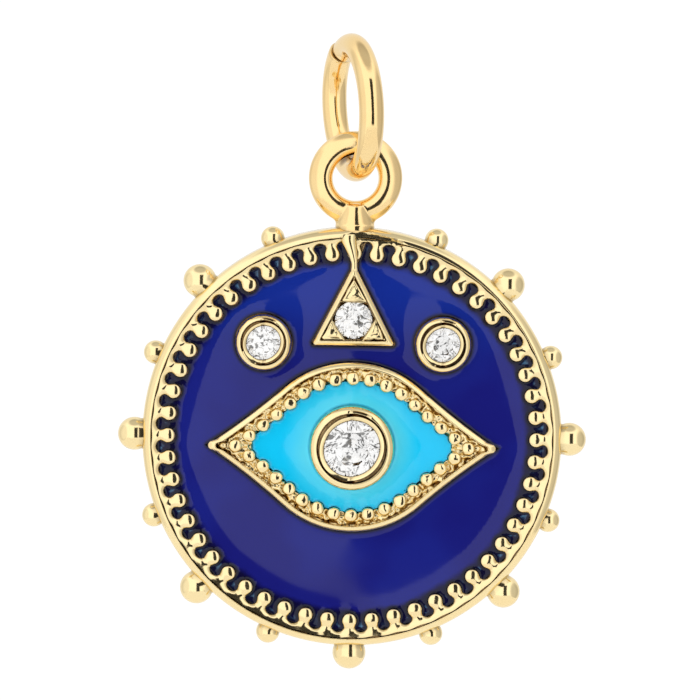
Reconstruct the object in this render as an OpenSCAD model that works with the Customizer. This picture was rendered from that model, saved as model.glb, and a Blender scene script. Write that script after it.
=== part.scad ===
// Evil eye pendant: an enamelled round charm that hangs by its loop in an open jump ring.
// The origin is the inside top of the jump ring, +Z is up and the face looks along -Y.
// The face is modelled flat, with its back at height 0, and then stood upright.

/* [Disc] */
// Radius of the disc to the outside of its rim
disc_r = 8.5; // [8.2:0.1:10]
// Thickness of the plate under the enamel
plate_t = 0.8; // [0.6:0.05:1]
// Thickness of the enamel
enamel_t = 0.5; // [0.4:0.05:0.6]
// Rounding of the back edge
back_edge_r = 0.25; // [0.1:0.05:0.35]
// Width of the smooth rail round the rim
rail_w = 0.36; // [0.3:0.01:0.45]
// Height of the rail above the enamel
rail_rise = 0.4; // [0.3:0.05:0.5]
// Width of the lower band that the teeth grow from
band_w = 0.22; // [0.18:0.01:0.3]
// Height of the band above the enamel
band_rise = 0.3; // [0.2:0.05:0.35]

/* [Rim teeth and balls] */
// Places for teeth round the rim, of which the tab takes the top one
tooth_n = 52; // [44:1:56]
// Diameter of a tooth's ball end
tooth_d = 0.56; // [0.45:0.01:0.6]
// Width of a tooth's neck
tooth_neck_w = 0.36; // [0.25:0.01:0.4]
// Length of a tooth inside the band
tooth_len = 0.75; // [0.6:0.01:0.8]
// Height of a tooth's ball above the enamel
tooth_rise = 0.3; // [0.2:0.05:0.35]
// How far a tooth's neck lies below the top of its ball
tooth_neck_drop = 0.1; // [0.06:0.01:0.12]
// Places for balls round the outside, of which the loop takes the top one
ball_n = 16; // [12:4:20]
// Diameter of the large balls
large_ball_d = 1.35; // [1.2:0.05:1.5]
// Distance of the large balls' centres outside the rim
large_ball_out = 0.33; // [0.2:0.01:0.4]
// Diameter of the small balls
small_ball_d = 0.96; // [0.8:0.02:1.1]
// Distance of the small balls' centres outside the rim
small_ball_out = 0.17; // [0.1:0.01:0.25]

/* [Eye border] */
// Width of the eye from tip to tip
eye_w = 11.76; // [11:0.1:12.5]
// Height of the eye from lid to lid
eye_h = 6.88; // [6.4:0.02:7.3]
// Distance of the eye below the triangle
eye_gap = 0.67; // [0.4:0.01:0.8]
// Width of the smooth rail round the eye
lid_rail_w = 0.18; // [0.14:0.01:0.22]
// Height of the eye's rail above the enamel
lid_rail_rise = 0.42; // [0.3:0.02:0.5]
// Width of the whole border, rail and ledge
lid_w = 0.76; // [0.7:0.01:0.85]
// Height of the ledge above the enamel
ledge_rise = 0.12; // [0.05:0.01:0.2]
// Diameter of the milgrain beads on the ledge
bead_d = 0.52; // [0.44:0.01:0.58]
// Distance of the bead row from the border's outer edge
bead_in = 0.65; // [0.6:0.01:0.7]
// Height of the beads above the enamel
bead_rise = 0.38; // [0.3:0.01:0.45]
// Steps of the bead row from the middle of a lid to a tip
bead_n = 8; // [7:1:9]
// Length of the ledge at each tip, from the eye's tip to the light blue field
tip_len = 1.83; // [1.6:0.01:2.1]

/* [Stones and bezels] */
// Diameter of the centre stone
center_d = 2.5; // [2.3:0.05:2.7]
// Distance of the centre stone below the eye's centre
center_drop = 0.01; // [0:0.01:0.1]
// Outer radius of the centre bezel
center_bezel_r = 1.71; // [1.65:0.01:1.85]
// Height of the centre stone's girdle above the enamel
center_rise = 0.68; // [0.6:0.02:0.8]
// Diameter of the side stones and of the triangle's stone
small_d = 1.5; // [1.4:0.05:1.55]
// Distance of the side stones' centres inside the rim
side_in = 3.23; // [3.1:0.01:3.3]
// Turn of each side stone's place from the top, round the disc's centre
side_turn = 43.5; // [42:0.5:46]
// Outer radius of the side bezels
side_bezel_r = 1.14; // [1.05:0.01:1.2]
// Height of the side stones' girdles above the enamel
side_rise = 0.4; // [0.35:0.01:0.5]
// How far a bezel's lip laps over its stone
lip_over = 0.05; // [0.03:0.01:0.08]
// Width of a bezel's thin inner lip
lip_w = 0.14; // [0.1:0.01:0.16]
// How far a bezel's top stands above its stone's girdle
lip_rise = 0.28; // [0.2:0.01:0.32]

/* [Cut of the stones] */
// Table's width across its corners, as a share of the stone's diameter
table_share = 0.57; // [0.5:0.01:0.62]
// Slope of the crown's main facets
crown_slope = 34.5; // [32:0.5:36]
// Slope of the pavilion's main facets
pavilion_slope = 41; // [40:0.5:42]
// Radius at which a star facet ends, as a share of the stone's radius
star_share = 0.76; // [0.72:0.01:0.8]
// Radius at which the lower girdle facets end, as a share of the stone's radius
lower_share = 0.23; // [0.2:0.01:0.3]
// Thickness of the girdle
girdle_t = 0.05; // [0.04:0.01:0.07]

/* [Triangle setting] */
// Width of the triangle at its base
tri_w = 3.42; // [3.3:0.01:3.6]
// Height of the triangle
tri_h = 3.34; // [3.2:0.01:3.5]
// Distance of the triangle's apex inside the rim
apex_in = 1.43; // [1.3:0.01:1.5]
// Rounding of the triangle's corners
tri_corner_r = 0.12; // [0.08:0.01:0.16]
// Width of the triangle's outer rail
tri_rail_w = 0.16; // [0.12:0.01:0.2]
// Height of the triangle's rail above the enamel
tri_rail_rise = 0.44; // [0.35:0.01:0.5]
// Width of the second lip inside the rail
tri_lip_w = 0.12; // [0.08:0.01:0.14]
// Height of the second lip above the enamel
tri_lip_rise = 0.3; // [0.2:0.01:0.35]
// Height of the floor round the triangle's stone above the enamel
tri_floor_rise = 0.12; // [0.05:0.01:0.18]
// Height of the triangle stone's girdle above the enamel
tri_stone_rise = 0.28; // [0.22:0.01:0.35]
// Height of the corner prongs above the enamel
prong_rise = 0.46; // [0.4:0.01:0.55]
// How far a corner prong laps over the stone
prong_over = 0.04; // [0.02:0.01:0.06]
// Width of the tab at the rim
tab_w = 1; // [0.8:0.05:1.1]
// Width of the tab at the triangle's apex
tab_tip_w = 0.26; // [0.2:0.01:0.3]

/* [Loop and jump ring] */
// Outer diameter of the loop
loop_od = 3.79; // [3.6:0.01:4]
// Wire of the loop
loop_wire = 0.97; // [0.9:0.01:1.05]
// Distance of the loop above the rim
loop_rise = 0.1; // [0:0.01:0.3]
// Diameter of the neck under the loop
neck_d = 1.62; // [1.5:0.01:1.66]
// Height of the neck above the rim
neck_h = 0.75; // [0.6:0.01:0.8]
// Height of the neck's upper part, where it narrows to the loop's wire
neck_taper_h = 0.4; // [0.3:0.01:0.5]
// Outer diameter of the jump ring
ring_od = 6; // [5.6:0.1:7]
// Wire of the jump ring
ring_wire = 1; // [0.9:0.01:1.05]
// Turn of the jump ring from square to the face
ring_turn = 16.8; // [0:0.1:18]
// Lean of the jump ring to the left
ring_lean = 3.3; // [0:0.1:5]
// Opening of the jump ring's cut
cut_w = 0.05; // [0.03:0.01:0.1]
// Place of the cut round the jump ring, from its top towards the back
cut_at = 25; // [10:1:60]
// Clearance between the loop and the jump ring
link_gap = 0.08; // [0.06:0.01:0.12]

/* [Fits] */
// Clearance between enamel or stone and metal
fit_gap = 0.03; // [0.02:0.005:0.04]

/* [Hidden] */
$fn = 96;

// How far a pillar is thinner than the ball on it, and how deep a piece roots in its base
ball_lip = 0.01;
root = 0.1;
// Bottom of a stone's seat, as a share of the stone's radius, wide enough for the facets' corners
seat_share = 0.3;
// Facets in one ring of a brilliant, and the half and quarter of their step round the axis
facet_n = 8;
half_facet = 180 / facet_n;
quarter_facet = half_facet / 2;

// Heights above the back
enamel_z = plate_t + enamel_t;
rail_z = enamel_z + rail_rise;
band_z = enamel_z + band_rise;
tooth_z = enamel_z + tooth_rise;
ledge_z = enamel_z + ledge_rise;
bead_z = enamel_z + bead_rise;
mid_z = rail_z / 2;

// Radii of the rim
band_out_r = disc_r - rail_w;
band_in_r = band_out_r - band_w;
tooth_r = band_in_r - tooth_len + tooth_d / 2;

// The link, where the middle of the jump ring's wire passes through the loop, and heights below it
ring_r = (ring_od - ring_wire) / 2;
ring_c_z = ring_wire - ring_od / 2;
link_drop = ring_r - ring_c_z;
link_x = link_drop * sin(ring_lean);
link_z = -link_drop * cos(ring_lean);
loop_r = (loop_od - loop_wire) / 2;
loop_c_z = link_z + ring_wire / 2 + link_gap + loop_wire / 2 - loop_r;
loop_y = disc_r + loop_rise + loop_od / 2;
disc_c_z = loop_c_z - loop_y;

// The triangle, from the centre of its inner circle, which is also its stone's centre
tri_side = norm([tri_w / 2, tri_h]);
tri_in_r = tri_w * tri_h / (tri_w + 2 * tri_side);
tri_apex_y = disc_r - apex_in;
tri_base_y = tri_apex_y - tri_h;
tri_c = [0, tri_base_y + tri_in_r];
tri_lean = atan(2 * tri_h / tri_w);
tri_sides = [-90, 90 - tri_lean, 90 + tri_lean];
tri_corners = [[tri_w / 2, -tri_in_r], [0, tri_h - tri_in_r], [-tri_w / 2, -tri_in_r]];
function tri_shrink(inset) = 1 - (inset + tri_corner_r) / tri_in_r;

// Centres of the eye, of its stone and of a side stone
eye_c = [0, tri_base_y - eye_gap - eye_h / 2];
center_c = eye_c - [0, center_drop];
side_c = (disc_r - side_in) * [sin(side_turn), cos(side_turn)];

// A lid is a round middle part and a hollow part that runs out to the tip; they meet at the knee,
// given as shares of the eye's half width and half height
knee_share = [0.469, 0.696];
knee = [eye_w / 2 * knee_share.x, eye_h / 2 * knee_share.y];
knee_fall = eye_h / 2 - knee.y;
lid_slope = 2 * atan(knee_fall / knee.x);
lid_r = knee.x / sin(lid_slope);
lid_c = [0, eye_h / 2 - lid_r];
hollow_chord = norm([eye_w / 2 - knee.x, knee.y]);
hollow_slope = atan(knee.y / (eye_w / 2 - knee.x));
hollow_r = hollow_chord / (2 * sin(lid_slope - hollow_slope));
hollow_c = knee + hollow_r * [sin(lid_slope), cos(lid_slope)];

function knee_at(inset) = knee - inset * [sin(lid_slope), cos(lid_slope)];
function tip_at(inset) = hollow_c.x - sqrt(pow(hollow_r + inset, 2) - pow(hollow_c.y, 2));
function tip_slope(inset) = acos(hollow_c.y / (hollow_r + inset));
function round_len(inset) = (lid_r - inset) * lid_slope * PI / 180;
function hollow_len(inset) = (hollow_r + inset) * (lid_slope - tip_slope(inset)) * PI / 180;
function turned(r, angle) = r * [sin(angle), cos(angle)];
// Point on a lid's line at the given inset, at a distance along it from the middle
function lid_point(inset, along) =
    along < round_len(inset)
        ? lid_c + turned(lid_r - inset, along / (lid_r - inset) * 180 / PI)
        : hollow_c - turned(hollow_r + inset,
              lid_slope - (along - round_len(inset)) / (hollow_r + inset) * 180 / PI);

// Outline of the eye, at a distance inside its outer edge
module eye_outline(inset) {
    translate(eye_c)
        for (across = [0, 1], up = [0, 1])
            mirror([across, 0]) mirror([0, up]) eye_quarter(inset);
}

module eye_quarter(inset) {
    knee_in = knee_at(inset);
    intersection() {
        translate(lid_c) circle(r = lid_r - inset);
        square([knee_in.x, eye_h]);
    }
    difference() {
        translate([knee_in.x, 0]) square([tip_at(inset) - knee_in.x, knee_in.y]);
        translate(hollow_c) circle(r = hollow_r + inset);
    }
}

// Centres of the milgrain beads round both lids
module at_beads() {
    step = (round_len(bead_in) + hollow_len(bead_in)) / bead_n;
    translate(eye_c)
        for (k = [0 : bead_n])
            for (across = k == 0 ? [1] : [-1, 1], up = k == bead_n ? [1] : [-1, 1]) {
                spot = lid_point(bead_in, k * step);
                translate([across * spot.x, up * spot.y]) children();
            }
}

// Rounded triangle, at a distance inside the setting's outer edge
module tri_outline(inset) {
    shrink = tri_shrink(inset);
    translate(tri_c) {
        polygon([for (i = [0 : 2], side = [i, (i + 1) % 3])
            tri_corners[i] * shrink + tri_corner_r * [cos(tri_sides[side]), sin(tri_sides[side])]]);
        for (corner = tri_corners)
            translate(corner * shrink) circle(r = tri_corner_r);
    }
}

// Wedge from the rim to the triangle, which it joins in the middle of the apex's rounding
module tab_outline(margin) {
    top = tab_w / 2 + margin;
    tip = tab_tip_w / 2 + margin;
    low_y = tri_c.y + tri_corners[1].y * tri_shrink(0);
    polygon([[-top, band_out_r], [top, band_out_r], [tip, tri_apex_y],
             [tip, low_y], [-tip, low_y], [-tip, tri_apex_y]]);
}

// Places of the teeth round the rim
module at_teeth() {
    for (i = [1 : tooth_n - 1])
        rotate(-360 * i / tooth_n) translate([0, tooth_r]) children();
}

module tooth_neck_outline(margin) {
    translate([-tooth_neck_w / 2 - margin, 0])
        square([tooth_neck_w + 2 * margin, band_in_r + band_w / 2 - tooth_r]);
}

// Plate, band and rail, as one turned section
module disc_body() {
    rotate_extrude()
        difference() {
            union() {
                square([band_out_r, plate_t]);
                translate([band_in_r, 0]) square([band_w, band_z - band_w / 2]);
                translate([band_in_r + band_w / 2, band_z - band_w / 2]) circle(d = band_w);
                translate([band_out_r, 0]) square([rail_w, rail_z - rail_w / 2]);
                translate([band_out_r + rail_w / 2, rail_z - rail_w / 2]) circle(d = rail_w);
            }
            difference() {
                translate([disc_r - back_edge_r, -root]) square([back_edge_r + root, back_edge_r + root]);
                translate([disc_r - back_edge_r, back_edge_r]) circle(r = back_edge_r);
            }
        }
}

module teeth() {
    base_z = plate_t - root;
    translate([0, 0, base_z]) {
        linear_extrude(tooth_z - tooth_d / 2 - base_z)
            at_teeth() circle(d = tooth_d - 2 * ball_lip);
        linear_extrude(tooth_z - tooth_neck_drop - base_z)
            at_teeth() tooth_neck_outline(0);
    }
    translate([0, 0, tooth_z - tooth_d / 2])
        at_teeth() sphere(d = tooth_d);
}

module rim_balls() {
    for (i = [1 : ball_n - 1])
        rotate(-360 * i / ball_n)
            if (i % 2 == 0)
                translate([0, disc_r + large_ball_out, mid_z]) sphere(d = large_ball_d);
            else
                translate([0, disc_r + small_ball_out, mid_z]) sphere(d = small_ball_d);
}

// Light blue field's outline, grown by a margin: inside the ledge and short of the tips
module field_outline(margin) {
    half_w = eye_w / 2 - tip_len + margin;
    intersection() {
        eye_outline(lid_w - margin);
        translate(eye_c - [half_w, eye_h]) square([2 * half_w, 2 * eye_h]);
    }
}

module eye_border() {
    base_z = plate_t - root;
    translate([0, 0, base_z]) {
        linear_extrude(lid_rail_rise + enamel_z - base_z)
            difference() {
                eye_outline(0);
                eye_outline(lid_rail_w);
            }
        linear_extrude(ledge_z - base_z)
            difference() {
                eye_outline(lid_rail_w / 2);
                field_outline(0);
            }
        linear_extrude(bead_z - bead_d / 2 - base_z)
            at_beads() circle(d = bead_d - 2 * ball_lip);
    }
    translate([0, 0, bead_z - bead_d / 2])
        at_beads() sphere(d = bead_d);
}

// Bezel as a turned section: a round outer band, and inside it a thin lip that laps over the stone
module bezel(stone_d, outer_r, girdle_z) {
    window_r = stone_d / 2 - lip_over;
    band = outer_r - window_r - lip_w;
    top_z = girdle_z + lip_rise;
    rotate_extrude() {
        translate([0, plate_t - root]) square([outer_r, girdle_z - plate_t + root]);
        translate([outer_r - band, girdle_z - root]) square([band, top_z - band / 2 - girdle_z + root]);
        translate([outer_r - band / 2, top_z - band / 2]) circle(d = band);
        translate([window_r, girdle_z - root]) square([lip_w, lip_rise - lip_w + root]);
        translate([window_r + lip_w / 2, top_z - lip_w]) circle(d = lip_w);
    }
}

module triangle_setting() {
    base_z = plate_t - root;
    translate([0, 0, base_z]) {
        linear_extrude(tri_rail_rise + enamel_z - base_z)
            difference() {
                tri_outline(0);
                tri_outline(tri_rail_w);
            }
        linear_extrude(tri_lip_rise + enamel_z - base_z)
            difference() {
                tri_outline(tri_rail_w / 2);
                tri_outline(tri_rail_w + tri_lip_w);
            }
        linear_extrude(tri_floor_rise + enamel_z - base_z)
            tri_outline(tri_rail_w + tri_lip_w / 2);
        linear_extrude(prong_rise + enamel_z - base_z)
            corner_prongs();
        linear_extrude(tri_rail_rise + enamel_z - base_z)
            tab_outline(0);
    }
}

// The triangle's three inner corners, cut off square to the line from the stone's centre
module corner_prongs() {
    intersection() {
        tri_outline(tri_rail_w + tri_lip_w / 2);
        for (corner = tri_corners)
            translate(tri_c)
                rotate(atan2(corner.y, corner.x))
                    translate([small_d / 2 - prong_over, -tri_in_r]) square([tri_h, 2 * tri_in_r]);
    }
}

module loop_and_neck() {
    translate([0, loop_y, mid_z])
        rotate_extrude() translate([loop_r, 0]) circle(d = loop_wire);
    translate([0, band_out_r, mid_z])
        rotate([-90, 0, 0]) {
            straight_h = rail_w + neck_h - neck_taper_h;
            cylinder(h = straight_h, d = neck_d);
            translate([0, 0, straight_h]) cylinder(h = neck_taper_h, d1 = neck_d, d2 = loop_wire);
        }
}

// Crown height and pavilion depth of a stone
function crown_h(d) = (1 - table_share) * d / 2 * tan(crown_slope);
function pavilion_h(d) = d / 2 * tan(pavilion_slope);

// Room for a stone in the metal, with its girdle's top at height 0
module stone_room(d) {
    seat_h = pavilion_h(d) + girdle_t + fit_gap;
    rotate_extrude()
        polygon([[0, -seat_h], [seat_share * d / 2, -seat_h], [d / 2 + fit_gap, -girdle_t - fit_gap],
                 [d / 2 + fit_gap, fit_gap], [table_share * d / 2 + fit_gap, crown_h(d) + fit_gap],
                 [0, crown_h(d) + fit_gap]]);
}

// A ring of facets round the axis, as a solid cone between two heights that runs through a given
// distance from the axis at a given height; the slope is negative below the girdle
module facet_ring(low_z, high_z, at_z, at_r, slope, turn) {
    low_r = at_r - (low_z - at_z) / tan(slope);
    high_r = at_r - (high_z - at_z) / tan(slope);
    translate([0, 0, low_z])
        rotate(turn)
            cylinder(h = high_z - low_z, r1 = low_r / cos(half_facet), r2 = high_r / cos(half_facet),
                     $fn = facet_n);
}

// Round brilliant with its girdle's top at height 0
module brilliant(d) {
    r = d / 2;
    top = crown_h(d);
    bottom = -girdle_t - pavilion_h(d);
    star_r = r * star_share;
    star_z = (r - star_r * cos(half_facet)) * tan(crown_slope);
    table_in_r = table_share * r * cos(half_facet);
    star_slope = atan((top - star_z) / (star_r - table_in_r));
    upper_slope = atan(star_z / ((r - star_r) * cos(quarter_facet)));
    lower_r = r * lower_share;
    lower_z = pavilion_h(d) - lower_r * cos(half_facet) * tan(pavilion_slope);
    lower_slope = atan(lower_z / ((r - lower_r) * cos(quarter_facet)));
    intersection() {
        translate([0, 0, bottom]) cylinder(h = top - bottom, r = r);
        facet_ring(bottom, top, 0, r, crown_slope, 0);
        facet_ring(bottom, top, top, table_in_r, star_slope, half_facet);
        for (side = [-1, 1])
            facet_ring(bottom, top, 0, r * cos(quarter_facet), upper_slope, side * quarter_facet);
        facet_ring(bottom, top, -girdle_t, r, -pavilion_slope, 0);
        for (side = [-1, 1])
            facet_ring(bottom, top, -girdle_t, r * cos(quarter_facet), -lower_slope, side * quarter_facet);
    }
}

module at_center_stone() {
    translate([center_c.x, center_c.y, enamel_z + center_rise]) children();
}

module at_side_stone(side) {
    translate([side * side_c.x, side_c.y, enamel_z + side_rise]) children();
}

module at_triangle_stone() {
    translate([tri_c.x, tri_c.y, enamel_z + tri_stone_rise]) children();
}

// Stands the flat face upright below the link, with the middle of its rim in the loop's plane
module upright() {
    translate([link_x, mid_z, disc_c_z]) rotate([90, 0, 0]) children();
}

module casting() {
    color("gold")
        upright()
            difference() {
                union() {
                    disc_body();
                    teeth();
                    rim_balls();
                    eye_border();
                    translate(center_c)
                        bezel(center_d, center_bezel_r, enamel_z + center_rise);
                    for (side = [-1, 1])
                        translate([side * side_c.x, side_c.y])
                            bezel(small_d, side_bezel_r, enamel_z + side_rise);
                    triangle_setting();
                    loop_and_neck();
                }
                at_center_stone() stone_room(center_d);
                for (side = [-1, 1])
                    at_side_stone(side) stone_room(small_d);
                at_triangle_stone() stone_room(small_d);
            }
}

module blue_enamel() {
    color("mediumblue")
        upright()
            translate([0, 0, plate_t + fit_gap])
                linear_extrude(enamel_t - fit_gap)
                    difference() {
                        circle(r = band_in_r - fit_gap);
                        at_teeth() circle(d = tooth_d + 2 * fit_gap);
                        at_teeth() tooth_neck_outline(fit_gap);
                        eye_outline(-fit_gap);
                        tri_outline(-fit_gap);
                        tab_outline(fit_gap);
                        for (side = [-1, 1])
                            translate([side * side_c.x, side_c.y]) circle(r = side_bezel_r + fit_gap);
                    }
}

module eye_enamel() {
    color("deepskyblue")
        upright()
            translate([0, 0, plate_t + fit_gap])
                linear_extrude(enamel_t - fit_gap)
                    difference() {
                        field_outline(-fit_gap);
                        at_beads() circle(d = bead_d + 2 * fit_gap);
                        translate(center_c) circle(r = center_bezel_r + fit_gap);
                    }
}

module stone_center() {
    color("white") upright() at_center_stone() brilliant(center_d);
}

module stone_left() {
    color("white") upright() at_side_stone(-1) brilliant(small_d);
}

module stone_right() {
    color("white") upright() at_side_stone(1) brilliant(small_d);
}

module stone_triangle() {
    color("white") upright() at_triangle_stone() brilliant(small_d);
}

// Open ring whose plane stands upright, its cut on the upper half of the branch at the back
module jump_ring() {
    cut_angle = cut_w / ring_r * 180 / PI;
    color("gold")
        rotate([0, -ring_lean, 0])
            translate([0, 0, ring_c_z])
                rotate([0, 0, ring_turn])
                    rotate([0, 90, 0])
                        rotate([0, 0, 180 - cut_at + cut_angle / 2])
                            rotate_extrude(angle = 360 - cut_angle)
                                translate([ring_r, 0]) circle(d = ring_wire);
}

casting();
blue_enamel();
eye_enamel();
stone_center();
stone_left();
stone_right();
stone_triangle();
jump_ring();
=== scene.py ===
from math import acos, atan, atan2, cos, exp, hypot, pi, radians, sin, tan

import bmesh
import bpy
from mathutils import Matrix, Vector, kdtree, noise


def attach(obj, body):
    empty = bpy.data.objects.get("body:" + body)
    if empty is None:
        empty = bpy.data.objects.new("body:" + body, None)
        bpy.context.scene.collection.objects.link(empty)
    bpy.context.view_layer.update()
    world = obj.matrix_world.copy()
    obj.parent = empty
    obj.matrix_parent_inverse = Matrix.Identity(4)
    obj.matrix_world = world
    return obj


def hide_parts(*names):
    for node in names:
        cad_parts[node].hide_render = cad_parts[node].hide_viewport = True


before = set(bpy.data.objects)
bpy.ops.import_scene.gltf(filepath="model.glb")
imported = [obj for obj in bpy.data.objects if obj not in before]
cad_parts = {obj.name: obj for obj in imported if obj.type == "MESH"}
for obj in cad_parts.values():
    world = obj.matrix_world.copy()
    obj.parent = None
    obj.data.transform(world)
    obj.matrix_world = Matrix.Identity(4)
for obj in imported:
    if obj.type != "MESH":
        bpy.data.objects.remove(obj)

# The evil eye pendant. Sizes are in millimetres and are those of the part. The face is modelled flat,
# with its back at height 0 and its top towards +Y, and each piece is then stood upright in metres.

# Disc
DISC_R = 8.5
PLATE_T = 0.8
ENAMEL_T = 0.5
BACK_EDGE_R = 0.25
RAIL_W = 0.36
RAIL_RISE = 0.4
BAND_W = 0.22
BAND_RISE = 0.3
# Teeth and balls round the rim
TOOTH_N = 52
TOOTH_D = 0.56
TOOTH_LEN = 0.75
TOOTH_RISE = 0.3
BALL_N = 16
LARGE_BALL_D = 1.35
LARGE_BALL_OUT = 0.33
SMALL_BALL_D = 0.96
SMALL_BALL_OUT = 0.17
# Eye border
EYE_W = 11.76
EYE_H = 6.88
EYE_GAP = 0.67
LID_RAIL_W = 0.18
LID_RAIL_RISE = 0.42
LID_W = 0.76
LEDGE_RISE = 0.12
BEAD_D = 0.52
BEAD_IN = 0.65
BEAD_RISE = 0.38
BEAD_N = 8
TIP_LEN = 1.83
TIP_ROUNDING = 0.15
KNEE_SHARE = (0.469, 0.696)
# Stones and bezels, with how far each bezel's lip covers its stone
CENTER_D = 2.5
CENTER_DROP = 0.01
CENTER_BEZEL_R = 1.71
CENTER_RISE = 0.68
CENTER_OVER = 0.07
SMALL_D = 1.5
SIDE_IN = 3.23
SIDE_TURN = 43.5
SIDE_BEZEL_R = 1.14
SIDE_RISE = 0.4
SIDE_OVER = 0.025
LIP_RISE = 0.28
PAVILION_SLOPE = 41
GIRDLE_T = 0.05
# Triangle setting
TRI_W = 3.42
TRI_H = 3.34
APEX_IN = 1.43
TRI_CORNER_R = 0.12
TRI_RAIL_W = 0.16
TRI_RAIL_RISE = 0.44
TRI_LIP_W = 0.12
TRI_LIP_RISE = 0.3
TRI_FLOOR_RISE = 0.12
TRI_STONE_RISE = 0.28
PRONG_RISE = 0.46
PRONG_OVER = 0.04
# Loop and jump ring
LOOP_OD = 3.79
LOOP_WIRE = 0.97
LOOP_RISE = 0.1
RING_OD = 6
RING_WIRE = 1
RING_TURN = 16.8
RING_LEAN = 3.3
CUT_W = 0.05
CUT_AT = 25
LINK_GAP = 0.08
FIT_GAP = 0.03

# Heights above the back, and radii of the rim
ENAMEL_Z = PLATE_T + ENAMEL_T
RAIL_Z = ENAMEL_Z + RAIL_RISE
BAND_Z = ENAMEL_Z + BAND_RISE
TOOTH_Z = ENAMEL_Z + TOOTH_RISE
LEDGE_Z = ENAMEL_Z + LEDGE_RISE
BEAD_Z = ENAMEL_Z + BEAD_RISE
MID_Z = RAIL_Z / 2
ROOT_Z = PLATE_T - 0.05
BAND_OUT_R = DISC_R - RAIL_W
BAND_IN_R = BAND_OUT_R - BAND_W
TOOTH_R = BAND_IN_R - TOOTH_LEN + TOOTH_D / 2
# The link, where the middle of the jump ring's wire passes through the loop, and heights below it
RING_R = (RING_OD - RING_WIRE) / 2
RING_C_Z = RING_WIRE - RING_OD / 2
LINK_DROP = RING_R - RING_C_Z
LINK_X = LINK_DROP * sin(radians(RING_LEAN))
LINK_Z = -LINK_DROP * cos(radians(RING_LEAN))
LOOP_R = (LOOP_OD - LOOP_WIRE) / 2
LOOP_C_Z = LINK_Z + RING_WIRE / 2 + LINK_GAP + LOOP_WIRE / 2 - LOOP_R
LOOP_Y = DISC_R + LOOP_RISE + LOOP_OD / 2
DISC_C_Z = LOOP_C_Z - LOOP_Y

TRI_SIDE = hypot(TRI_W / 2, TRI_H)
TRI_IN_R = TRI_W * TRI_H / (TRI_W + 2 * TRI_SIDE)
TRI_APEX_Y = DISC_R - APEX_IN
TRI_BASE_Y = TRI_APEX_Y - TRI_H
TRI_C_Y = TRI_BASE_Y + TRI_IN_R
TRI_LEAN = atan(2 * TRI_H / TRI_W)
TRI_SIDES = (-pi / 2, pi / 2 - TRI_LEAN, pi / 2 + TRI_LEAN)
TRI_CORNERS = (Vector((TRI_W / 2, -TRI_IN_R)), Vector((0, TRI_H - TRI_IN_R)), Vector((-TRI_W / 2, -TRI_IN_R)))
EYE_C_Y = TRI_BASE_Y - EYE_GAP - EYE_H / 2
CENTER_Y = EYE_C_Y - CENTER_DROP
SIDE_X = (DISC_R - SIDE_IN) * sin(radians(SIDE_TURN))
SIDE_Y = (DISC_R - SIDE_IN) * cos(radians(SIDE_TURN))

MM = 0.001
IN_METRES = Matrix.Scale(MM, 4)
UPRIGHT = IN_METRES @ Matrix.Translation((LINK_X, MID_Z, DISC_C_Z)) @ Matrix.Rotation(pi / 2, 4, "X")

scene = bpy.context.scene
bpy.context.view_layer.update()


# Modelling by hand

# Gaps that are merged: in general, within one pitch of the toothed lip, and between its pitches
MERGE_GAP = 0.0005
PITCH_MERGE_GAP = 0.0002
LIP_MERGE_GAP = 0.001


def clear_selection():
    bpy.ops.object.select_all(action="DESELECT")


def pick_piece(piece):
    clear_selection()
    piece.select_set(True)
    bpy.context.view_layer.objects.active = piece


def start_editing():
    """Edit mode on the active piece, to work on its points."""
    bpy.ops.object.mode_set(mode="EDIT")
    bpy.ops.mesh.select_mode(type="VERT")


def open_mesh(piece):
    """Edit mode on one piece, with nothing in it selected."""
    pick_piece(piece)
    start_editing()
    bpy.ops.mesh.select_all(action="DESELECT")


def close_mesh():
    bpy.ops.object.mode_set(mode="OBJECT")
    return bpy.context.view_layer.objects.active


def edit_mesh():
    return bmesh.from_edit_mesh(bpy.context.edit_object.data)


def keep_edits():
    bmesh.update_edit_mesh(bpy.context.edit_object.data)


def pick_all():
    bpy.ops.mesh.select_all(action="SELECT")


def pick_points(wanted):
    """Selects the points whose place is wanted, in edit mode."""
    mesh = edit_mesh()
    for v in mesh.verts:
        v.select = bool(wanted(v.co))
    mesh.select_flush_mode()
    keep_edits()


def pick_edges(wanted):
    """Selects the edges that are wanted, in edit mode."""
    bpy.ops.mesh.select_mode(type="EDGE")
    mesh = edit_mesh()
    for e in mesh.edges:
        e.select = wanted(e)
    keep_edits()


def pick_faces(wanted):
    """Selects the faces whose middle and normal are wanted, in edit mode."""
    bpy.ops.mesh.select_mode(type="FACE")
    mesh = edit_mesh()
    for f in mesh.faces:
        f.select = bool(wanted(f.calc_center_median(), f.normal))
    mesh.select_flush_mode()
    keep_edits()


def move(by):
    bpy.ops.transform.translate(value=by)


def lift(height):
    move((0, 0, height))


def rotate(axis, angle):
    bpy.ops.transform.rotate(value=angle, orient_axis=axis, center_override=(0, 0, 0))


def stretch(by, center=(0, 0, 0)):
    bpy.ops.transform.resize(value=by, center_override=center)


def extrude_edges():
    bpy.ops.mesh.extrude_edges_move()


def merge_all(gap):
    """Merges all points closer than a gap, in edit mode, and leaves them all selected."""
    pick_all()
    bpy.ops.mesh.remove_doubles(threshold=gap)


def clean_skin():
    """Merges doubled points and turns all faces outwards, in edit mode."""
    bpy.ops.mesh.select_mode(type="VERT")
    merge_all(MERGE_GAP)
    bpy.ops.mesh.normals_make_consistent(inside=False)
    bpy.ops.mesh.select_all(action="DESELECT")


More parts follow.
